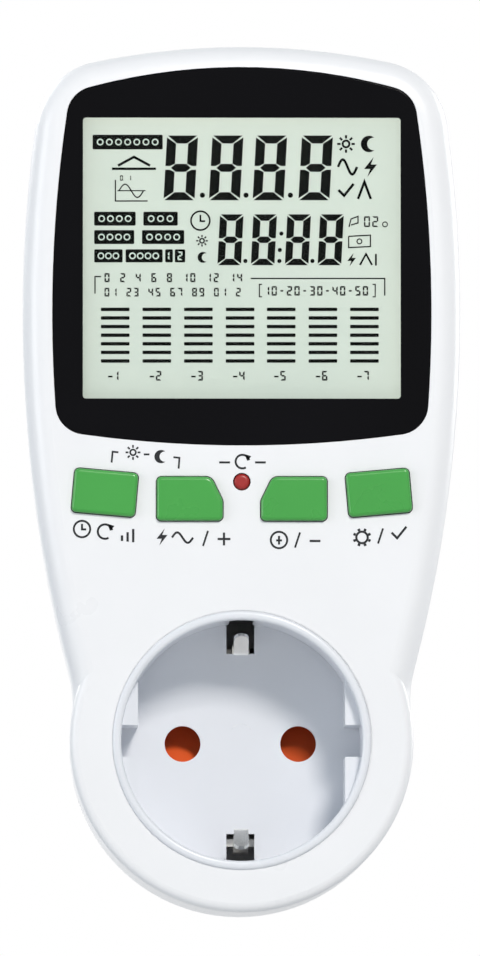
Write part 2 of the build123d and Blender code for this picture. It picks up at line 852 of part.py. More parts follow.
def contact(side):
    """Slit sleeve that grips a pin, closed at its back end."""
    x = side * half_pitch
    sleeve = disc(x, 0, contact_bore_r + contact_wall, carrier_front_y, carrier_back_y)
    sleeve -= disc(x, 0, contact_bore_r, carrier_front_y - overrun, contact_end_y)
    reach = contact_bore_r + contact_wall
    return sleeve - block(x, reach, contact_slit, 2 * reach, carrier_front_y - overrun, contact_end_y)


def strip(path, thickness, width):
    """Flat metal strip bent along a path that is seen from the side."""
    return across(trace(path, thickness), 0, width)


def earth_strap():
    """One bent strip: its middle crosses the carrier and its ends are the two earth clips."""
    base_y = carrier_front_y + earth_strip_thickness / 2
    half = [
        (base_y, clip_root_z),
        (front_y + clip_root_depth, clip_root_z),
        (front_y + clip_nose_depth, clip_nose_z),
        (front_y + clip_tip_depth, clip_tip_z),
    ]
    lower = [(y, -z) for y, z in reversed(half)]
    path = FilletPolyline(*lower, *half, radius=clip_bend_r)
    strap = strip(path, earth_strip_thickness, earth_strip_width)
    ends = [edge for edge in strap.edges() if edge.center().Y < front_y + clip_nose_depth - clip_bend_r]
    tips = [edge for edge in ends if abs(edge.length - earth_strip_thickness) < seat_gap]
    return fillet(tips, clip_tip_r)


def plug_pin(side):
    """Solid pin with a rounded tip, a neck in the plug's end wall, a collar behind it and a tail."""
    x = side * half_pitch
    pin = disc(x, 0, pin_r, 0, pin_length)
    pin = fillet(pin.faces().sort_by(Axis.Y)[-1].edges(), pin_tip_r)
    pin += disc(x, 0, pin_neck_r, plug_inner_y, 0)
    pin += disc(x, 0, pin_collar_r, collar_back_y, plug_inner_y)
    return pin + disc(x, 0, pin_tail_r, pin_tail_y, collar_back_y)


def pin_retainer():
    """Plate that holds both pins' collars against the end wall."""
    plate = RectangleRounded(2 * retainer_half_width, 2 * retainer_half_height, retainer_corner_r)
    for side in (-1, 1):
        plate += Pos(0, side * retainer_screw_z) * Circle(retainer_ear_r)
    plate += Rectangle(2 * retainer_ear_r, 2 * retainer_screw_z)
    for side in (-1, 1):
        plate -= Pos(side * half_pitch, 0) * Circle(pin_tail_r + running_gap)
        plate -= Pos(0, side * retainer_screw_z) * Circle(small_screw_r + screw_hole_gap)
    return slab(plate, collar_back_y - retainer_thickness, collar_back_y)


def plug_earth_strap():
    """Bent strip whose arms lie in the grooves outside the plug."""
    arm_z = plug_r - earth_groove_depth + earth_plate_thickness / 2 + seat_gap
    end_y = -earth_plate_end_gap
    base_y = earth_plate_thickness / 2 - earth_plate_depth
    path = FilletPolyline(
        (end_y, -arm_z), (base_y, -arm_z), (base_y, arm_z), (end_y, arm_z), radius=earth_bend_r
    )
    return strip(path, earth_plate_thickness, earth_plate_width)


def earth_post():
    """Round post that joins the two earth straps."""
    return disc(0, 0, earth_post_r, carrier_front_y + earth_strip_thickness, -earth_plate_depth)


def neutral_busbar():
    """Flat bar from the neutral pin's tail to the neutral contact."""
    return block(half_pitch, 0, busbar_width, busbar_thickness, carrier_back_y, pin_tail_y)


def power_pcb():
    """Board with the supply and measuring parts, on posts of the rear cover."""
    height = power_board_top_z - power_board_bottom_z
    middle = power_board_bottom_z + height / 2
    board = block(0, middle, 2 * power_board_half_width, height, power_front_y, power_back_y)
    for x, z in power_screw_places():
        board -= disc(x, z, small_screw_r + running_gap, power_front_y - overrun, power_back_y + overrun)
    return board


def on_power_board(place, size):
    """Plain body of a part that stands on the power board."""
    width, height, thickness = size
    return block(*place, width, height, power_front_y - thickness, power_front_y)


def x2_capacitor():
    """Boxed mains capacitor."""
    box = on_power_board(capacitor_place, capacitor_size)
    return fillet(box.faces().sort_by(Axis.Y)[0].edges(), capacitor_edge_r)


def varistor():
    """Disc varistor that stands on two leads."""
    x, z = varistor_place
    middle_y = power_front_y - varistor_lift - varistor_r
    body = Pos(x, middle_y, z) * Cylinder(varistor_r, varistor_thickness)
    body = fillet(body.edges(), varistor_thickness / 4)
    for side in (-1, 1):
        lead_x = x + side * lead_spacing / 2
        body += block(lead_x, z, lead_width, lead_width, middle_y, power_front_y)
    return body


def reservoir_capacitor():
    """Electrolytic can."""
    can = disc(*reservoir_place, reservoir_r, power_front_y - reservoir_height, power_front_y)
    return fillet(can.faces().sort_by(Axis.Y)[0].edges(), lead_width)


def metering_chip():
    """Measuring chip beside the shunt."""
    chip = on_power_board(chip_place, chip_size)
    return chamfer(chip.faces().sort_by(Axis.Y)[0].edges(), chip_size[2] / 4)


def metering_crystal():
    """Crystal can with rounded ends."""
    width, height, thickness = crystal_size
    outline = Pos(*crystal_place) * SlotOverall(width, height)
    return slab(outline, power_front_y - thickness, power_front_y)


def shunt_resistor():
    """Bent measuring strip that carries the live current."""
    x, z = shunt_place
    left = x - shunt_span / 2
    right = x + shunt_span / 2
    top_y = power_front_y - shunt_height
    path = FilletPolyline(
        (left, power_front_y), (left, top_y), (right, top_y), (right, power_front_y), radius=shunt_width / 4
    )
    outline = Plane(origin=(0, 0, z)) * trace(path, shunt_thickness)
    return extrude(outline, amount=shunt_width / 2, both=True)


def backup_battery():
    """Button cell stack that keeps the readings, lying on the power board."""
    x, z = battery_place
    middle_y = power_front_y - battery_r - seat_gap
    lying = Location((x, middle_y, z), (0, 90, 0))
    return fillet((lying * Cylinder(battery_r, battery_length)).edges(), lead_width)


def board_header():
    """Pin header that joins the two boards."""
    x, z = header_place
    length = header_pins * header_pitch
    header = block(x, z, length, header_block_width, power_front_y - header_block_height, power_front_y)
    header += block(x, z, length, header_block_width, board_back_y, board_back_y + header_block_height)
    for number in range(header_pins):
        pin_x = x - length / 2 + header_pitch * (number + 1 / 2)
        header += block(pin_x, z, header_pin_width, header_pin_width, board_back_y, power_front_y)
    return header


def terminal_z():
    """Lower face of the wire terminals."""
    return power_board_bottom_z + terminal_margin


def wire_terminals():
    """Three terminals that the mains wires end in."""
    _, height, depth = terminal_size
    middle_z = terminal_z() + height / 2
    top_y = power_front_y - depth
    terminals = []
    for x in (live_out_x, live_in_x, neutral_x):
        body = on_power_board((x, middle_z), terminal_size)
        hole = disc(x, middle_z, terminal_screw_r, top_y - overrun, top_y + terminal_screw_r)
        terminals.append(body - hole)
    return terminals


def wire(points):
    """Wire along straight runs joined by arcs as large as the runs allow."""
    corners = [Vector(*point) for point in points]
    radii = []
    for before, corner, after in zip(corners, corners[1:], corners[2:]):
        arrive = corner - before
        leave = after - corner
        half_turn = math.radians(arrive.get_angle(leave)) / 2
        radii.append(wire_bend_share * min(arrive.length, leave.length) / math.tan(half_turn))
    path = FilletPolyline(*corners, radius=radii)
    section = Plane(origin=path @ 0, z_dir=path % 0) * Circle(wire_r)
    return sweep(section, path=path)


def wire_end(x):
    """Last two points of a wire that goes up into its terminal."""
    y = power_front_y - terminal_size[2] / 2
    return [(x, y, wire_turn_z), (x, y, terminal_z())]


def live_in_wire():
    """Wire from the live pin's tail to the board."""
    y = pin_tail_y - live_in_lead
    shifted_x = live_in_shift - half_pitch
    start = [(-half_pitch, pin_tail_y, 0), (-half_pitch, y, 0), (shifted_x, y, live_in_rise)]
    return wire(start + wire_end(live_in_x))


def live_out_wire():
    """Wire from the board back to the live contact."""
    y = carrier_back_y + live_out_lead
    start = [(-half_pitch, carrier_back_y, 0), (-half_pitch, y, 0), (-half_pitch, y, live_out_rise)]
    return wire(start + wire_end(live_out_x))


def neutral_wire():
    """Wire from the neutral bar to the board."""
    y = (carrier_back_y + pin_tail_y) / 2
    start = [(half_pitch, y, busbar_thickness / 2), (half_pitch, y, neutral_rise)]
    return wire(start + wire_end(neutral_x))


def case_screws():
    """Six screws that go in from the back, sunk in their wells."""
    parts = []
    for place in case_screw_places():
        seat_y = case_floor_y(place[1]) - case_seat_depth
        length = seat_y - groove_y + case_screw_bite
        parts.append(screw(place, seat_y, length, screw_r, screw_head_r, screw_head_height, 1))
    return parts


def small_screws(places, seat_y, length, way):
    """A set of small screws for the boards and the socket."""
    return screws(places, seat_y, length, small_screw_r, small_head_r, small_head_height, way)


def all_parts():
    """Every piece of the meter under its name."""
    parts = {
        "front_cover": front_cover(),
        "rear_cover": rear_cover(),
        "display_bezel": display_bezel(),
        "display_window": display_window(),
        "lcd_glass": lcd_glass(),
        "lcd_backlight": lcd_backlight(),
        "lcd_frame": lcd_frame(),
        "zebra_strips": zebra_strips(),
        "display_pcb": display_pcb(),
        "display_controller": display_controller(),
        "switch_bodies": switch_bodies(),
        "socket_cup": socket_cup(),
        "shutter_slider": shutter_slider(),
        "shutter_spring": shutter_spring(),
        "shutter_guide": shutter_guide(),
        "contact_carrier": contact_carrier(),
        "live_contact": contact(-1),
        "neutral_contact": contact(1),
        "earth_strap": earth_strap(),
        "earth_post": earth_post(),
        "plug_earth_strap": plug_earth_strap(),
        "live_pin": plug_pin(-1),
        "neutral_pin": plug_pin(1),
        "pin_retainer": pin_retainer(),
        "neutral_busbar": neutral_busbar(),
        "power_pcb": power_pcb(),
        "x2_capacitor": x2_capacitor(),
        "varistor": varistor(),
        "reservoir_capacitor": reservoir_capacitor(),
        "metering_chip": metering_chip(),
        "metering_crystal": metering_crystal(),
        "shunt_resistor": shunt_resistor(),
        "backup_battery": backup_battery(),
        "board_header": board_header(),
        "wire_terminals": wire_terminals(),
        "live_in_wire": live_in_wire(),
        "live_out_wire": live_out_wire(),
        "neutral_wire": neutral_wire(),
        "case_screws": case_screws(),
    }
    for name, (outline, place, proud) in button_keys().items():
        parts[name] = button(outline, place, proud)
        parts[name.replace("button", "plunger")] = plunger(place)
    return parts | all_small_screws()


def all_small_screws():
    """The sets of small screws under their names."""
    carrier_seat_y = carrier_front_y + carrier_ear_thickness
    carrier_length = carrier_seat_y - cup_back_y + small_screw_bite
    retainer_seat_y = collar_back_y - retainer_thickness
    retainer_places = [(0, -retainer_screw_z), (0, retainer_screw_z)]
    power_length = small_screw_bite - 2 * seat_gap
    board_length = power_length + board_thickness
    return {
        "display_pcb_screws": small_screws(board_screw_places(), board_back_y, board_length, 1),
        "power_pcb_screws": small_screws(power_screw_places(), power_front_y, power_length, -1),
        "carrier_screws": small_screws(ear_places(), carrier_seat_y, carrier_length, 1),
        "retainer_screws": small_screws(retainer_places, retainer_seat_y, small_screw_bite, -1),
    }


def export_all(parts):
    """One file for each piece, named after it; like pieces share a file."""
    os.makedirs("parts", exist_ok=True)
    for name, shape in parts.items():
        whole = Compound(children=shape) if isinstance(shape, list) else shape
        export_step(whole, f"parts/{name}.step")


export_all(all_parts())
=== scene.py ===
import json
import math

import bpy
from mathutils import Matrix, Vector


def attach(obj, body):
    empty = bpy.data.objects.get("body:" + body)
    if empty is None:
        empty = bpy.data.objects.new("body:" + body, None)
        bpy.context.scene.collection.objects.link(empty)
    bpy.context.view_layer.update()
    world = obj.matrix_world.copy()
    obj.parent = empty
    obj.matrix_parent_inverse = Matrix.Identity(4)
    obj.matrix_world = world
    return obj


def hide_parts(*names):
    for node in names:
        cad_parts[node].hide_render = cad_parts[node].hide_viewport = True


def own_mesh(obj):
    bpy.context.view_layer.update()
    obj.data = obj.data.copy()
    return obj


# Looks of a plug-in energy meter. Lengths are in metres unless a name says otherwise.
# Places on the front are given in pixels of the 480 by 956 view and cast onto the surface that carries them.

IMAGE_W, IMAGE_H = 480, 956
PX_PER_M = 6130.0
AIM = Vector((-0.0003, -0.056, 0.0428))
DISTANCE = 2.0
AZIMUTH, ELEVATION = -0.8, -3.2
SENSOR = 36.0
CLIP_NEAR, CLIP_FAR = 0.1, 50

FACE_Y = -0.056
GLASS_Y = -0.05355
RECESS_FLOOR_Y = -0.0385
# Where the two shells meet, and half the width of the painted shade of their groove.
SEAM_Y = -0.034
SEAM_SHADE_HALF = 0.00014
CUP_R, CUP_GAP, CUP_LINE_DEPTH = 0.0211, 0.00015, 0.00012
CUP_LINE_STEPS = 128
# Depth over which painted shade darkens the foot of a key.
KEY_SHADE_DEPTH = 0.0007
INK = 0.00003
INK_LIFT = 0.00001
PALE_LIFT = 0.00006

FLOOR_Z, FLOOR_HALF = -0.12, 12.0
FADE_NEAR, FADE_FAR = 0.5, 2.6
GLOW_NEAR, GLOW_FAR = 0.72, 1.0
AMBIENT = 0.23

# Sockets of a colour mix: the share, and the colours at 0 and at 1.
MIX_SHARE, MIX_A, MIX_B, MIX_RESULT = 0, 6, 7, 2

# Width, step and thickness of a small figure, as shares of its height.
FIGURE_WIDTH, FIGURE_STEP, FIGURE_THICK = 0.56, 0.78, 0.14
CORNER_STEPS = 4
SINE_STEPS = 24

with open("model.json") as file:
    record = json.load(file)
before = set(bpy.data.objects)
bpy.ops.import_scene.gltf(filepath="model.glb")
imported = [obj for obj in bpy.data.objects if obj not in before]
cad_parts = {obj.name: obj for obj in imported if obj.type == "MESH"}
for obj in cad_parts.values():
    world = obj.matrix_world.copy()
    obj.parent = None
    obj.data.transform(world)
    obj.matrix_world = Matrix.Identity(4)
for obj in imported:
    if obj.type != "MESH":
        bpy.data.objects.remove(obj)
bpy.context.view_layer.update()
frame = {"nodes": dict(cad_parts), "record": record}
nodes = frame["nodes"]


def srgb(r, g, b):
    """Linear colour from 0-255 display values."""
    def channel(value):
        value /= 255
        return value / 12.92 if value <= 0.04045 else ((value + 0.055) / 1.055) ** 2.4
    return (channel(r), channel(g), channel(b), 1.0)


def grey(value):
    return (value, value, value, 1.0)


def scaled(colour, factor, lift=0.0):
    """A lighter or darker version of a colour."""
    return tuple(min(1.0, c * factor + lift) for c in colour[:3]) + (1.0,)


def map_range(tree, source, from_low, from_high, low, high):
    """Take a value from one range to another, and stop at the ends."""
    ramp = tree.nodes.new("ShaderNodeMapRange")
    limits = {"From Min": from_low, "From Max": from_high, "To Min": low, "To Max": high}
    for name, value in limits.items():
        ramp.inputs[name].default_value = value
    tree.links.new(source, ramp.inputs["Value"])
    return ramp.outputs["Result"]


def combine(tree, operation, first, second):
    """Maths on two sockets."""
    made = tree.nodes.new("ShaderNodeMath")
    made.operation = operation
    tree.links.new(first, made.inputs[0])
    tree.links.new(second, made.inputs[1])
    return made.outputs[0]


def rays_seen(tree, *kinds):
    """1 for rays of the given kinds, and 0 for all others."""
    path = tree.nodes.new("ShaderNodeLightPath")
    seen = path.outputs[kinds[0]]
    for kind in kinds[1:]:
        seen = combine(tree, "MAXIMUM", seen, path.outputs[kind])
    return seen


def mix_shaders(tree, share, first, second, output):
    """Show the first shader, and the second one by a share."""
    mix = tree.nodes.new("ShaderNodeMixShader")
    for source, target in zip((share, first, second), mix.inputs):
        tree.links.new(source, target)
    tree.links.new(mix.outputs[0], tree.nodes[output].inputs["Surface"])


class Surface:
    """A principled material with helpers that add procedural detail."""

    def __init__(self, name, colour, roughness, metallic=0.0):
        self.material = bpy.data.materials.new(name)
        self.material.use_nodes = True
        self.tree = self.material.node_tree
        self.shader = self.tree.nodes["Principled BSDF"]
        self.colour = colour
        self.normal = None
        self.set("Base Color", colour)
        self.set("Roughness", roughness)
        self.set("Metallic", metallic)
        self.material.diffuse_color = colour
        self.coords = self.node("ShaderNodeTexCoord").outputs["Object"]

    def set(self, socket, value):
        self.shader.inputs[socket].default_value = value
        return self

    def node(self, kind, **values):
        made = self.tree.nodes.new(kind)
        for key, value in values.items():
            setattr(made, key, value)
        return made

    def link(self, source, target):
        self.tree.links.new(source, target)

    def depth(self):
        """Place along Y."""
        split = self.node("ShaderNodeSeparateXYZ")
        self.link(self.coords, split.inputs[0])
        return split.outputs["Y"]

    def noise(self, scale, detail=2.0, stretch=None):
        """Noise of so many features to the metre, stretched along an axis if wanted."""
        texture = self.node("ShaderNodeTexNoise")
        texture.inputs["Scale"].default_value = scale
        texture.inputs["Detail"].default_value = detail
        source = self.coords
        if stretch:
            mapping = self.node("ShaderNodeMapping")
            mapping.inputs["Scale"].default_value = stretch
            self.link(source, mapping.inputs["Vector"])
            source = mapping.outputs["Vector"]
        self.link(source, texture.inputs["Vector"])
        return texture.outputs["Fac"]

    def ranged(self, source, low, high, from_low=0.3, from_high=0.7):
        return map_range(self.tree, source, from_low, from_high, low, high)

    def vary_roughness(self, scale, low, high, stretch=None):
        rough = self.ranged(self.noise(scale, 4.0, stretch), low, high)
        self.link(rough, self.shader.inputs["Roughness"])
        return self

    def vary_with(self, share, other):
        """Blend towards another colour by a share."""
        mix = self.node("ShaderNodeMix", data_type="RGBA")
        source = self.shader.inputs["Base Color"]
        if source.is_linked:
            self.link(source.links[0].from_socket, mix.inputs[MIX_A])
        else:
            mix.inputs[MIX_A].default_value = self.colour
        mix.inputs[MIX_B].default_value = other
        self.link(share, mix.inputs[MIX_SHARE])
        self.link(mix.outputs[MIX_RESULT], self.shader.inputs["Base Color"])
        return self

    def vary_colour(self, scale, other, amount=1.0, from_low=0.35, from_high=0.7, stretch=None):
        """Blend towards another colour where the noise is high."""
        share = self.ranged(self.noise(scale, 3.0, stretch), 0.0, amount, from_low, from_high)
        return self.vary_with(share, other)

    def seam(self, y, half, shade):
        """Painted shade of the narrow groove where two shells meet, as a dark band at the depth y."""
        near = self.node("ShaderNodeMath", operation="COMPARE")
        near.inputs[1].default_value = y
        near.inputs[2].default_value = half
        self.link(self.depth(), near.inputs[0])
        return self.vary_with(near.outputs[0], shade)

    def foot(self, y, depth, other):
        """Painted shade at a key's foot: blend towards another, darker colour over a depth before y, where
        the key goes into its hole.
        """
        return self.vary_with(self.ranged(self.depth(), 0.0, 1.0, y - depth, y), other)

    def bump(self, source, strength, distance):
        made = self.node("ShaderNodeBump")
        made.inputs["Strength"].default_value = strength
        made.inputs["Distance"].default_value = distance
        self.link(source, made.inputs["Height"])
        if self.normal:
            self.link(self.normal, made.inputs["Normal"])
        self.normal = made.outputs["Normal"]
        self.link(self.normal, self.shader.inputs["Normal"])
        return self

    def grain(self, scale, strength, distance, detail=2.0, stretch=None):
        return self.bump(self.noise(scale, detail, stretch), strength, distance)

    def scratches(self, strength):
        """Few hairline scuffs that run in two directions."""
        for stretch in ((90, 900, 2600), (2300, 700, 110)):
            line = self.ranged(self.noise(1.0, 3.0, stretch), 0.0, 1.0, 0.66, 0.74)
            self.bump(line, strength, 0.000004)
        return self


def moulded(name, colour, rough, grain=0.12, shade=0.93):
    """Moulded plastic: fine grain, slow waves of gloss and a trace of colour drift."""
    made = Surface(name, colour, rough[0])
    made.vary_colour(45, scaled(colour, shade), 0.6).vary_roughness(70, *rough)
    made.grain(6500, grain, 0.000012).grain(240, grain / 2, 0.00002)
    return made.scratches(0.015)


def metal(name, colour, rough, stretch, tarnish, drift=0.5):
    """Drawn or stamped metal with fine lines along its working direction."""
    made = Surface(name, colour, rough, 1.0)
    made.vary_colour(260, tarnish, drift, 0.45, 0.75)
    made.vary_roughness(900, rough * 0.75, rough * 1.5, stretch)
    return made.grain(1.0, 0.18, 0.000006, 3.0, tuple(v * 3 for v in stretch))


def board(name, mask, track):
    """Printed board: solder mask over tracks that show as paler lines."""
    made = Surface(name, mask, 0.35)
    cells = made.node("ShaderNodeTexVoronoi", feature="DISTANCE_TO_EDGE")
    cells.inputs["Scale"].default_value = 420
    cells.inputs["Randomness"].default_value = 0.35
    made.link(made.coords, cells.inputs["Vector"])
    lines = made.ranged(cells.outputs["Distance"], 1.0, 0.0, 0.02, 0.07)
    return made.vary_with(lines, track).bump(lines, 0.4, 0.00003).vary_roughness(300, 0.25, 0.45)


def print_material(name, colour, rough, gloss=0.5):
    """Printed ink with slightly uneven cover."""
    made = Surface(name, colour, rough).set("Specular IOR Level", gloss)
    made.vary_colour(900, scaled(colour, 1.4, 0.002), 0.5)
    made.vary_roughness(700, rough * 0.8, rough * 1.2).grain(7000, 0.15, 0.000008)
    return made.material


NICKEL_TARNISH = (0.52, 0.49, 0.42, 1.0)
BRASS_TARNISH = (0.42, 0.25, 0.09, 1.0)
SHELL_WHITE = srgb(243, 244, 247)
# The cup is of the shells' white plastic; its darker, bluer colour is painted shade that falls in the
# socket's recess.
CUP_SHADED_WHITE = srgb(231, 234, 240)


def make_materials():
    shells = {"housing_white": SHELL_WHITE, "cover_white": SHELL_WHITE, "cup_shaded_white": CUP_SHADED_WHITE}
    white, cover, cup = [moulded(name, colour, (0.27, 0.36), 0.10, 0.97) for name, colour in shells.items()]
    for made in (white, cover, cup):
        made.set("Coat Weight", 0.12).set("Coat Roughness", 0.18)
    # Painted shade of the groove where the front and rear covers meet.
    cover.seam(SEAM_Y, SEAM_SHADE_HALF, srgb(118, 122, 128))
    bezel = Surface("bezel_black", srgb(8, 8, 11), 0.16)
    bezel.vary_roughness(55, 0.10, 0.22).vary_colour(30, srgb(12, 12, 16), 0.6)
    bezel.grain(160, 0.02, 0.00001).scratches(0.03)
    bezel.set("Specular IOR Level", 0.06)
    window = Surface("window_clear", (0.97, 0.985, 0.975, 1.0), 0.03)
    window.set("Transmission Weight", 1.0).set("IOR", 1.12)
    window.grain(120, 0.015, 0.000006).vary_roughness(80, 0.015, 0.05)
    lcd = Surface("lcd_panel", srgb(214, 224, 213), 0.34)
    lcd.vary_colour(28, srgb(207, 219, 209), 0.8).vary_roughness(300, 0.28, 0.4).grain(5200, 0.06, 0.000006)
    light_box = moulded("light_box", grey(0.82), (0.45, 0.6))
    inner_white = moulded("inner_white", srgb(226, 226, 224), (0.42, 0.55), 0.2, 0.9)
    rubber = Surface("zebra_rubber", grey(0.03), 0.7)
    rubber.vary_colour(1.0, grey(0.09), 1.0, 0.4, 0.6, (4000, 5, 5)).grain(3000, 0.2, 0.00002)
    chip = Surface("chip_black", grey(0.018), 0.55)
    chip.grain(5200, 0.35, 0.00002).vary_colour(400, grey(0.03), 0.6).vary_roughness(500, 0.45, 0.65)
    green = moulded("key_green", srgb(57, 160, 61), (0.26, 0.36), 0.08, 0.9)
    green.set("Coat Weight", 0.2).set("Coat Roughness", 0.12)
    # Painted shade round the foot of each key, where it goes into the face.
    green.foot(FACE_Y, KEY_SHADE_DEPTH, srgb(16, 58, 26))
    red = moulded("key_red", srgb(160, 28, 26), (0.3, 0.4), 0.08, 0.85)
    plunger = moulded("plunger_black", grey(0.03), (0.4, 0.5))
    orange = moulded("shutter_orange", srgb(236, 98, 44), (0.34, 0.46), 0.14, 0.86)
    return {
        "housing": white, "cover": cover, "cup": cup,
        "bezel": bezel, "window": window, "lcd": lcd, "light_box": light_box,
        "white_plastic": inner_white, "rubber": rubber, "chip": chip,
        "green_key": green, "red_key": red, "plunger": plunger, "shutter": orange,
        "board": board("board_green", srgb(18, 92, 48), srgb(52, 138, 78)),
        "nickel": metal("nickel_plate", srgb(246, 245, 241), 0.24, (60, 900, 60), NICKEL_TARNISH, 0.3),
        "pin": metal("pin_nickel", srgb(190, 188, 183), 0.22, (900, 60, 900), NICKEL_TARNISH, 0.3),
        "brass": metal("brass_strip", srgb(205, 165, 92), 0.26, (900, 60, 900), BRASS_TARNISH),
        "steel": metal("steel_screw", srgb(186, 187, 190), 0.3, (700, 700, 90), grey(0.35)),
        "can": metal("can_sleeve", srgb(96, 98, 130), 0.35, (90, 600, 90), grey(0.2)),
        "capacitor": moulded("capacitor_box", srgb(214, 178, 58), (0.35, 0.45), 0.2, 0.85),
        "varistor": moulded("varistor_blue", srgb(40, 98, 176), (0.2, 0.34), 0.2, 0.8),
        "cell": moulded("cell_wrap", srgb(70, 160, 96), (0.25, 0.35), 0.12, 0.85),
        "terminal": moulded("terminal_green", srgb(66, 150, 92), (0.4, 0.5), 0.2, 0.85),
        "live_insulation": moulded("wire_brown", srgb(120, 72, 40), (0.38, 0.5), 0.16, 0.85),
        "neutral_insulation": moulded("wire_blue", srgb(48, 96, 178), (0.38, 0.5), 0.16, 0.85),
    }


OWN_FINISH = {
    "front_cover": "cover", "rear_cover": "cover", "socket_cup": "cup",
    "live_pin": "pin", "neutral_pin": "pin",
}


def dress_nodes(materials):
    for row in frame["record"]["subparts"]:
        target = nodes[row["node"]]
        finish = OWN_FINISH.get(row["node"], row["material_slot"])
        target.data.materials.clear()
        target.data.materials.append(materials[finish].material)


def new_object(name, data):
    made = bpy.data.objects.new(name, data)
    bpy.context.scene.collection.objects.link(made)
    return made


def mesh_object(name, points, faces, material):
    mesh = bpy.data.meshes.new(name)
    mesh.from_pydata(points, [], faces)
    mesh.validate()
    mesh.materials.append(material)
    return new_object(name, mesh)


def look_along(made, direction):
    """Turn a camera or a lamp to look in a direction."""
    made.rotation_mode = "QUATERNION"
    made.rotation_quaternion = direction.to_track_quat("-Z", "Y")


def camera_axes():
    """Right, up and back vectors of the view."""
    a, e = math.radians(AZIMUTH), math.radians(ELEVATION)
    back = Vector((math.sin(a) * math.cos(e), -math.cos(a) * math.cos(e), math.sin(e)))
    right = Vector((math.cos(a), math.sin(a), 0))
    return right, back.cross(right), back


def make_camera():
    data = bpy.data.cameras.new("camera")
    camera = new_object("camera", data)
    _, _, back = camera_axes()
    camera.location = AIM + back * DISTANCE
    look_along(camera, -back)
    data.sensor_width = SENSOR
    data.lens = SENSOR * DISTANCE * PX_PER_M / IMAGE_H
    data.clip_start, data.clip_end = CLIP_NEAR, CLIP_FAR
    bpy.context.scene.camera = camera


def on_plane(u, v, y):
    """The point of the plane at depth y that shows at a pixel of the view."""
    right, up, back = camera_axes()
    eye = AIM + back * DISTANCE
    target = AIM + right * ((u - IMAGE_W / 2) / PX_PER_M) + up * ((IMAGE_H / 2 - v) / PX_PER_M)
    ray = target - eye
    return eye + ray * ((y - eye.y) / ray.y)


# A shape is an outline with a hole of as many points, or with None.

def outline_at(u, v, corners):
    """Shape from corners that are given relative to its middle."""
    return [(u + x, v + z) for x, z in corners], None


def rect(u0, v0, u1, v1):
    return [(u0, v0), (u1, v0), (u1, v1), (u0, v1)], None


def rounded(u0, v0, u1, v1, r=1.2):
    """Box of pixels with rounded corners."""
    corners = ((u1 - r, v0 + r, -90), (u1 - r, v1 - r, 0), (u0 + r, v1 - r, 90), (u0 + r, v0 + r, 180))
    points = []
    for cu, cv, start in corners:
        for step in range(CORNER_STEPS + 1):
            angle = math.radians(start + 90 * step / CORNER_STEPS)
            points.append((cu + r * math.cos(angle), cv + r * math.sin(angle)))
    return points, None


def arc_points(u, v, r, count, start=0.0, end=360.0):
    """Points round an arc; a full turn leaves out the repeated last one."""
    full = abs(end - start) >= 360
    steps = count if full else count - 1
    angles = [math.radians(start + (end - start) * k / steps) for k in range(count)]
    return [(u + r * math.cos(a), v + r * math.sin(a)) for a in angles]


def dot(u, v, r):
    return arc_points(u, v, r, 20), None


def ring(u, v, r, width, count=32):
    return arc_points(u, v, r + width / 2, count), arc_points(u, v, r - width / 2, count)


def stroke(points, width):
    """One outline round an open line, mitred at its corners."""
    left, right = [], []
    last = len(points) - 1
    for k, (u, v) in enumerate(points):
        before = points[max(k - 1, 0)]
        after = points[min(k + 1, last)]
        arrive = Vector((u - before[0], v - before[1]))
        leave = Vector((after[0] - u, after[1] - v))
        arrive = (arrive if k else leave).normalized()
        leave = (leave if k < last else arrive).normalized()
        middle = (arrive + leave).normalized()
        side = Vector((-middle.y, middle.x)) * (width / 2 / max(0.35, middle.dot(arrive)))
        left.append((u + side.x, v + side.y))
        right.append((u - side.x, v - side.y))
    return left + right[::-1], None


def spokes(u, v, inner, outer, width, first=0.0):
    """Eight short strokes round a middle."""
    shapes = []
    for k in range(8):
        a = math.radians(45 * k + first)
        shapes.append(stroke([(u + inner * math.cos(a), v + inner * math.sin(a)),
                              (u + outer * math.cos(a), v + outer * math.sin(a))], width))
    return shapes


def seven_segments(u0, v0, width, height, lean, thick, lit="abcdefg", wide=1.0):
    """Slanted figure of seven bars with narrow gaps between them; wide thickens the upright ones."""
    gap = thick * 0.12
    half = thick / 2
    side = half * wide
    x0, x1 = side, width - lean - side
    z0, z1 = half, height / 2
    a, b = x0 + gap, x1 - gap

    def place(x, z):
        return u0 + x + lean * (1 - z / height), v0 + z

    def upright(x, way):
        top = z0 + gap * 2
        low = z1 - gap * 2
        outer, inner = x + way * side, x - way * side
        points = [(outer, top - half), (outer, low), (x, low),
                  (inner, low - half * 0.6), (inner, top + half * 0.6)]
        return points if way > 0 else points[::-1]

    def flipped(points):
        return [(x, height - z) for x, z in points][::-1]

    bars = {
        "a": [(a - side, z0 - half), (b + side, z0 - half), (b - side, z0 + half), (a + side, z0 + half)],
        "g": [(a, z1), (a + side * 0.9, z1 - half), (b - side * 0.9, z1 - half),
              (b, z1), (b - side, z1 + half), (a + side, z1 + half)],
        "f": upright(x0, -1), "b": upright(x1, 1),
    }
    for upper, lower in (("a", "d"), ("f", "e"), ("b", "c")):
        bars[lower] = flipped(bars[upper])
    return [([place(x, z) for x, z in bars[name]], None) for name in lit]


NUMERALS = {
    "0": "abcdef", "1": "bc", "2": "abged", "3": "abgcd", "4": "fgbc",
    "5": "afgcd", "6": "afgedc", "7": "abc", "8": "abcdefg", "9": "abcdfg", "-": "g",
}


def thin_numbers(text, u0, v0, height, step=None, thick=None):
    """Row of small figures; a space leaves a gap."""
    step = step or height * FIGURE_STEP
    thick = thick or height * FIGURE_THICK
    shapes = []
    for k, char in enumerate(text):
        if char in NUMERALS:
            left = u0 + k * step
            shapes += seven_segments(left, v0, height * FIGURE_WIDTH, height, 0.0, thick, NUMERALS[char])
    return shapes


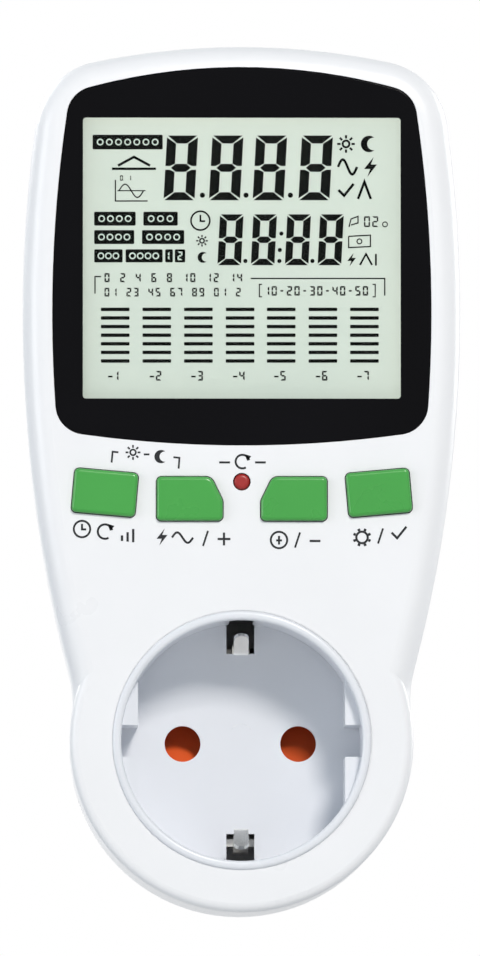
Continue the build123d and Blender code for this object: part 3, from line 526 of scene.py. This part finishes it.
def solid_print(name, shapes, y, material, lift=INK_LIFT):
    """Thin closed plates of ink on the plane at depth y."""
    points, faces = [], []

    def loop(outline):
        start = len(points)
        for back in (0.0, INK):
            for u, v in outline:
                place = on_plane(u, v, y)
                points.append((place.x, y - lift - back, place.z))
        return start

    for outer, inner in shapes:
        count = len(outer)
        area = sum(a[0] * b[1] - b[0] * a[1] for a, b in zip(outer, outer[1:] + outer[:1]))
        if area < 0:
            outer = outer[::-1]
            inner = inner[::-1] if inner else None
        first = loop(outer)
        top = first + count
        if inner:
            second = loop(inner)
            low = second + count
        else:
            faces.append(tuple(range(first, first + count)))
            faces.append(tuple(range(top + count - 1, top - 1, -1)))
        for k in range(count):
            n = (k + 1) % count
            faces.append((first + n, first + k, top + k, top + n))
            if inner:
                faces.append((second + k, second + n, low + n, low + k))
                faces.append((top + k, low + k, low + n, top + n))
                faces.append((first + k, first + n, second + n, second + k))
    made = mesh_object(name, points, faces, material)
    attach(made, "housing")


def gap_line(material):
    """Shallow bottom of the line between the socket's cup and the front face."""
    radii = (CUP_R + 0.1 * CUP_GAP, CUP_R + 0.9 * CUP_GAP)
    depths = (FACE_Y + CUP_LINE_DEPTH, FACE_Y + 2 * CUP_LINE_DEPTH)
    points, faces = [], []
    for k in range(CUP_LINE_STEPS):
        a = 2 * math.pi * k / CUP_LINE_STEPS
        points += [(r * math.cos(a), y, r * math.sin(a)) for r in radii for y in depths]
        b, n = 4 * k, 4 * ((k + 1) % CUP_LINE_STEPS)
        for one, two in ((0, 2), (2, 3), (3, 1), (1, 0)):
            faces.append((b + one, b + two, n + two, n + one))
    made = mesh_object("cup_line", points, faces, material)
    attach(made, "housing")


def shutter_coil():
    """Spring under the shutter: a copy of the model's spring with a mesh of its own, fixed to the housing.
    """
    made = new_object("shutter_coil", nodes["shutter_spring"].data.copy())
    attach(made, "housing")
    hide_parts("shutter_spring")
    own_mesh(made)


# Symbols. Each gives a list of shapes round a pixel of the view.

def sun(u, v, r, width=1.3):
    return [ring(u, v, r * 0.38, width)] + spokes(u, v, r * 0.62, r, width)


def moon(u, v, r):
    outer = arc_points(u, v, r, 22, 50, 310)
    inner = arc_points(u + r * 0.55, v, r * 0.772, 22, 264, 96)
    return [(outer + inner, None)]


def bolt(u, v, h):
    w = h * 0.32
    corners = ((w * 0.5, -h / 2), (-w, h * 0.1), (-w * 0.05, h * 0.1),
               (-w * 0.5, h / 2), (w, -h * 0.12), (w * 0.05, -h * 0.12))
    return [outline_at(u, v, corners)]


def plus(u, v, r, width):
    h = width / 2
    corners = ((-h, -r), (h, -r), (h, -h), (r, -h), (r, h), (h, h),
               (h, r), (-h, r), (-h, h), (-r, h), (-r, -h), (-h, -h))
    return [outline_at(u, v, corners)]


def minus(u, v, r, width):
    return [rect(u - r, v - width / 2, u + r, v + width / 2)]


def clock(u, v, r, width):
    hands = [(u, v - r * 0.62), (u, v + r * 0.05), (u + r * 0.5, v + r * 0.05)]
    return [ring(u, v, r, width), stroke(hands, width)]


def turn_arrow(u, v, r, width):
    """Open ring with an arrow head at its end."""
    tip = math.radians(-40)
    tu, tv = u + r * math.cos(tip), v + r * math.sin(tip)
    head = [(tu + r * 0.55, tv - r * 0.15), (tu - r * 0.45, tv - r * 0.45), (tu - r * 0.05, tv + r * 0.55)]
    return [stroke(arc_points(u, v, r, 26, -12, -300), width), (head, None)]


def gear(u, v, r, width):
    return [ring(u, v, r * 0.62, width)] + spokes(u, v, r * 0.74, r, width * 1.25, 22.5)


def tick(u, v, r, width):
    return [stroke([(u - r, v), (u - r * 0.25, v + r * 0.75), (u + r, v - r * 0.8)], width)]


def coins(u, v, r, width):
    lines = (
        [(u - r * 0.35, v + r * 0.05), (u + r * 0.35, v + r * 0.05)],
        [(u, v - r * 0.5), (u, v - r * 0.06)],
        [(u, v + r * 0.16), (u, v + r * 0.55)],
    )
    return [ring(u, v, r, width)] + [stroke(line, width) for line in lines]


def sine(u0, u1, v, amplitude, width):
    points = []
    for k in range(SINE_STEPS + 1):
        rise = amplitude * math.sin(2 * math.pi * k / SINE_STEPS)
        points.append((u0 + (u1 - u0) * k / SINE_STEPS, v - rise))
    return [stroke(points, width)]


TOP_LEFTS = (163.5, 208.9, 252.6, 298.4)
TOP_POINTS = (202.4, 246.0, 290.4)
LOW_LEFTS = (217.4, 250.8, 284.8, 317.6)
LOW_POINTS = ((245.4, 261), (279.4, 261), (312.4, 261), (281.4, 233.6), (279.8, 250))


def big_figures():
    """The display's two rows of large figures with their points."""
    shapes = []
    for u0 in TOP_LEFTS:
        shapes += seven_segments(u0, 135.6, width=34.6, height=64.6, lean=3.6, thick=7.9, wide=1.2)
    shapes += [dot(u, 195.2, 2.6) for u in TOP_POINTS]
    for u0 in LOW_LEFTS:
        shapes += seven_segments(u0, 214.4, width=26.2, height=50.8, lean=2.6, thick=6.4, wide=1.15)
    return shapes + [dot(u, v, 2.1) for u, v in LOW_POINTS]


BAR_LEFTS = (100.9, 142.5, 184.1, 225.8, 266.9, 308.6, 350.1)
BAR_ROWS = (309.4, 318.0, 326.6, 335.2, 343.8, 352.4, 361.0)
BAR_LENGTH, BAR_HALF = 28.6, 1.7


def bar_chart():
    """Seven stacks of bars with a small number under each."""
    shapes = []
    for number, u in enumerate(BAR_LEFTS, 1):
        shapes += [rounded(u, v - BAR_HALF, u + BAR_LENGTH, v + BAR_HALF, 0.7) for v in BAR_ROWS]
        shapes += minus(u + 9.4, 376.6, 2.2, 1.5)
        nudge = 1.2 if number == 1 else 0
        shapes += thin_numbers(str(number), u + 13.4 - nudge, 371.0, 9.6, thick=1.5)
    return shapes


SYMBOL_PLATES = (
    (92.6, 134.8, 162.7, 149.4), (94.2, 211.8, 135.6, 225.6), (143.4, 211.8, 177.7, 225.6),
    (94.2, 230.2, 134.2, 244.0), (142.0, 230.2, 184.2, 244.0), (94.2, 249.4, 122.6, 262.4),
    (125.6, 249.4, 162.6, 262.4),
)
NUMBER_PLATES = ((165.2, 249.4, 172.8, 262.4), (174.8, 249.4, 185.2, 262.4))


def display_marks():
    """Icons, scales and plates of the display; none of them spells a word."""
    shapes = [rounded(*box) for box in SYMBOL_PLATES + NUMBER_PLATES]
    # A roof and a small plot at the left.
    shapes += [stroke([(118, 165.6), (134, 157), (150, 165.6)], 2.5), rect(112, 167.6, 156, 170.0)]
    shapes += thin_numbers("0 1", 120, 175.4, 5.2, thick=0.9)
    shapes += [stroke([(115.4, 180), (115.4, 201), (147.6, 201)], 1.2), rect(117.5, 190.2, 145.5, 191.2)]
    shapes += sine(119, 143.5, 190.8, 6.6, 1.2)
    # Beside the large figures.
    shapes += sun(346, 144, 8.8, 2.1) + moon(369, 144, 8.2)
    shapes += sine(338, 357, 167, 7.4, 2.5) + bolt(370.5, 167, 20)
    shapes += tick(346, 190, 7.6, 2.6) + [stroke([(358, 199), (364.4, 182), (370.8, 199)], 2.5)]
    shapes += clock(200.4, 220.7, 9.4, 1.7) + sun(202, 240.8, 5.8, 1.4) + moon(203, 257.4, 5.4)
    shapes += [stroke([(349, 227), (351, 219), (358, 216.4), (358, 223), (351, 225)], 1.2)]
    shapes += thin_numbers("02", 364, 216.4, 10.6, thick=1.4) + [ring(385, 224.4, 2.4, 1.0)]
    note = [(348.6, 236.4), (370.4, 235.2), (370.4, 246.6), (348.6, 247.6), (348.6, 236.4)]
    shapes += [stroke(note, 1.2), ring(359.4, 241.4, 2.4, 1.1)]
    shapes += bolt(351.6, 259.6, 13.4)
    shapes += [stroke([(360, 265), (366, 254), (372, 265)], 1.8), rect(375, 254, 376.8, 265.6)]
    # Scales over the bars, with their brackets.
    shapes += thin_numbers("0 2 4 6 8 10 12 14", 104.5, 273.2, 9.0, 7.8, 1.5)
    shapes += thin_numbers("01 23 45 67 89 01 2", 104.5, 287.9, 8.6, 7.3, 1.4)
    shapes += [stroke([(101, 276.6), (95, 276.6), (95, 293.6)], 1.2),
               stroke([(250.8, 278.5), (384.7, 278.5), (384.7, 295.6)], 1.2)]
    shapes += thin_numbers("10-20-30-40-50", 264, 286.2, 9.4, 7.6, 1.5)
    shapes += [stroke([(262.0, 284.4), (259.4, 284.4), (259.4, 296.8), (262.0, 296.8)], 1.1),
               stroke([(372.6, 284.4), (375.2, 284.4), (375.2, 296.8), (372.6, 296.8)], 1.1)]
    return shapes


def inverse_marks():
    """Pale marks on the dark plates of the display."""
    shapes = []
    for u0, v0, u1, v1 in SYMBOL_PLATES:
        count = max(2, int((u1 - u0) / 9))
        pitch = (u1 - u0 - 6) / count
        for k in range(count):
            shapes.append(ring(u0 + 3 + pitch * (k + 0.5), (v0 + v1) / 2, 2.8, 1.3, 16))
    for number, (u0, v0, u1, v1) in zip("12", NUMBER_PLATES):
        left = (u0 + u1) / 2 - (4.4 if number == "1" else 2.4)
        shapes += thin_numbers(number, left, v0 + 2.2, v1 - v0 - 4.4, thick=1.5)
    return shapes


def key_marks():
    """Symbols printed on the housing beside the keys."""
    # Under the keys, from the left.
    shapes = clock(82, 529, 8.2, 2.0) + turn_arrow(105, 531.6, 7.2, 2.1)
    for k, u in enumerate((122, 127.6, 133.2)):
        shapes.append(stroke([(u, 541 + k * 0.6), (u, 535.4 - k * 3.2)], 2.3))
    shapes += bolt(162, 537, 17) + sine(172, 193, 537.6, 5.2, 2.1) + plus(224, 539, 6.4, 2.2)
    shapes += coins(279, 540, 8.2, 2.0) + minus(315, 541, 5.4, 2.2)
    shapes += gear(362, 537.4, 9.2, 2.1) + tick(399, 532.6, 7.4, 2.3)
    for u, v in ((203, 538.4), (295, 540), (378, 536)):
        shapes.append(stroke([(u, v + 7.6), (u + 5, v - 7.6)], 1.9))
    # Over the keys: the turn-back sign of the red one, then sun and moon between brackets.
    shapes += turn_arrow(242.4, 461.6, 6.8, 2.0)
    shapes += minus(224.6, 462.4, 5.4, 2.0) + minus(260.4, 462.4, 5.4, 2.0)
    shapes += sun(133, 452.4, 7.4, 1.7) + minus(146.6, 454.4, 2.8, 1.8) + moon(161, 456.6, 6.6)
    shapes += [stroke([(111.6, 462.5), (112.6, 451.7), (118.4, 452.3)], 1.8),
               stroke([(173.4, 457.2), (179.4, 457.8), (178.6, 468.6)], 1.8)]
    return shapes


def floor_arc():
    """Faint moulded arc in the socket's floor, drawn as a thin plate painted a little darker than the floor
    as its shade.
    """
    return [stroke(arc_points(241, 735, 11, 16, -152, -28), 1.0)]


def make_stage():
    """Pale floor: it keeps the shadow, and reads white to the eye and in reflections."""
    material = bpy.data.materials.new("stage_floor")
    material.use_nodes = True
    tree = material.node_tree
    shader = tree.nodes["Principled BSDF"]
    shader.inputs["Base Color"].default_value = (0.6, 0.605, 0.61, 1)
    shader.inputs["Roughness"].default_value = 0.7
    glow = tree.nodes.new("ShaderNodeEmission")
    away = tree.nodes.new("ShaderNodeVectorMath")
    away.operation = "LENGTH"
    tree.links.new(tree.nodes.new("ShaderNodeTexCoord").outputs["Object"], away.inputs[0])
    fade = map_range(tree, away.outputs["Value"], FADE_NEAR, FADE_FAR, GLOW_NEAR, GLOW_FAR)
    share = combine(tree, "MULTIPLY", rays_seen(tree, "Is Camera Ray", "Is Glossy Ray"), fade)
    mix_shaders(tree, share, shader.outputs[0], glow.outputs[0], "Material Output")
    corners = [(x * FLOOR_HALF, y * FLOOR_HALF, FLOOR_Z) for x, y in ((-1, -1), (1, -1), (1, 1), (-1, 1))]
    floor = mesh_object("floor", corners, [(0, 1, 2, 3)], material)


def make_world():
    """Even surroundings that light the object softly and look white where they are seen."""
    world = bpy.data.worlds.new("studio")
    bpy.context.scene.world = world
    world.use_nodes = True
    tree = world.node_tree
    ambient = tree.nodes["Background"]
    ambient.inputs["Color"].default_value = (0.6, 0.81, 1.0, 1)
    ambient.inputs["Strength"].default_value = AMBIENT
    white = tree.nodes.new("ShaderNodeBackground")
    white.inputs["Color"].default_value = (1, 1, 1, 1)
    white.inputs["Strength"].default_value = 1.0
    seen = rays_seen(tree, "Is Camera Ray", "Is Glossy Ray", "Is Transmission Ray")
    mix_shaders(tree, seen, ambient.outputs[0], white.outputs[0], "World Output")


def softbox(name, place, size, power, colour):
    """Square lamp that faces the middle of the object."""
    data = bpy.data.lights.new(name, "AREA")
    data.shape = "SQUARE"
    data.size = size
    data.energy = power
    data.color = colour
    lamp = new_object(name, data)
    lamp.location = place
    look_along(lamp, AIM - Vector(place))


materials = make_materials()
dress_nodes(materials)
make_camera()
make_stage()
make_world()
softbox("key", (0.37, -1.35, 0.86), 0.32, 16.6, (1.0, 0.955, 0.9))
softbox("fill", (-1.35, -0.7, 0.25), 0.7, 5.5, (0.96, 0.98, 1.0))
softbox("rear_left", (-1.05, 1.15, 0.75), 0.6, 16.0, (1.0, 0.97, 0.93))
softbox("rear_right", (1.25, 0.8, 0.45), 0.9, 8.0, (1.0, 0.98, 0.95))

nodes["display_window"].visible_shadow = False
nodes["display_bezel"].visible_shadow = False
nodes["display_window"].visible_diffuse = False

lcd_ink = print_material("lcd_ink", srgb(5, 8, 6), 0.5, 0.02)
pale_ink = print_material("lcd_pale_ink", srgb(198, 212, 202), 0.4)
face_ink = print_material("face_ink", srgb(30, 32, 36), 0.5, 0.25)
# The floor arc is the floor's own plastic; its darker colour is painted shade of the moulded ridge.
arc_shade = print_material("floor_arc_shade", srgb(222, 226, 232), 0.4)
solid_print("lcd_figures", big_figures(), GLASS_Y, lcd_ink)
solid_print("lcd_bars", bar_chart(), GLASS_Y, lcd_ink)
solid_print("lcd_marks", display_marks(), GLASS_Y, lcd_ink)
solid_print("lcd_pale_marks", inverse_marks(), GLASS_Y, pale_ink, PALE_LIFT)
solid_print("key_marks", key_marks(), FACE_Y, face_ink)
solid_print("floor_arc", floor_arc(), RECESS_FLOOR_Y, arc_shade, INK_LIFT)
gap_line(materials["housing"].material)
shutter_coil()

bpy.context.scene.view_settings.view_transform = "Standard"
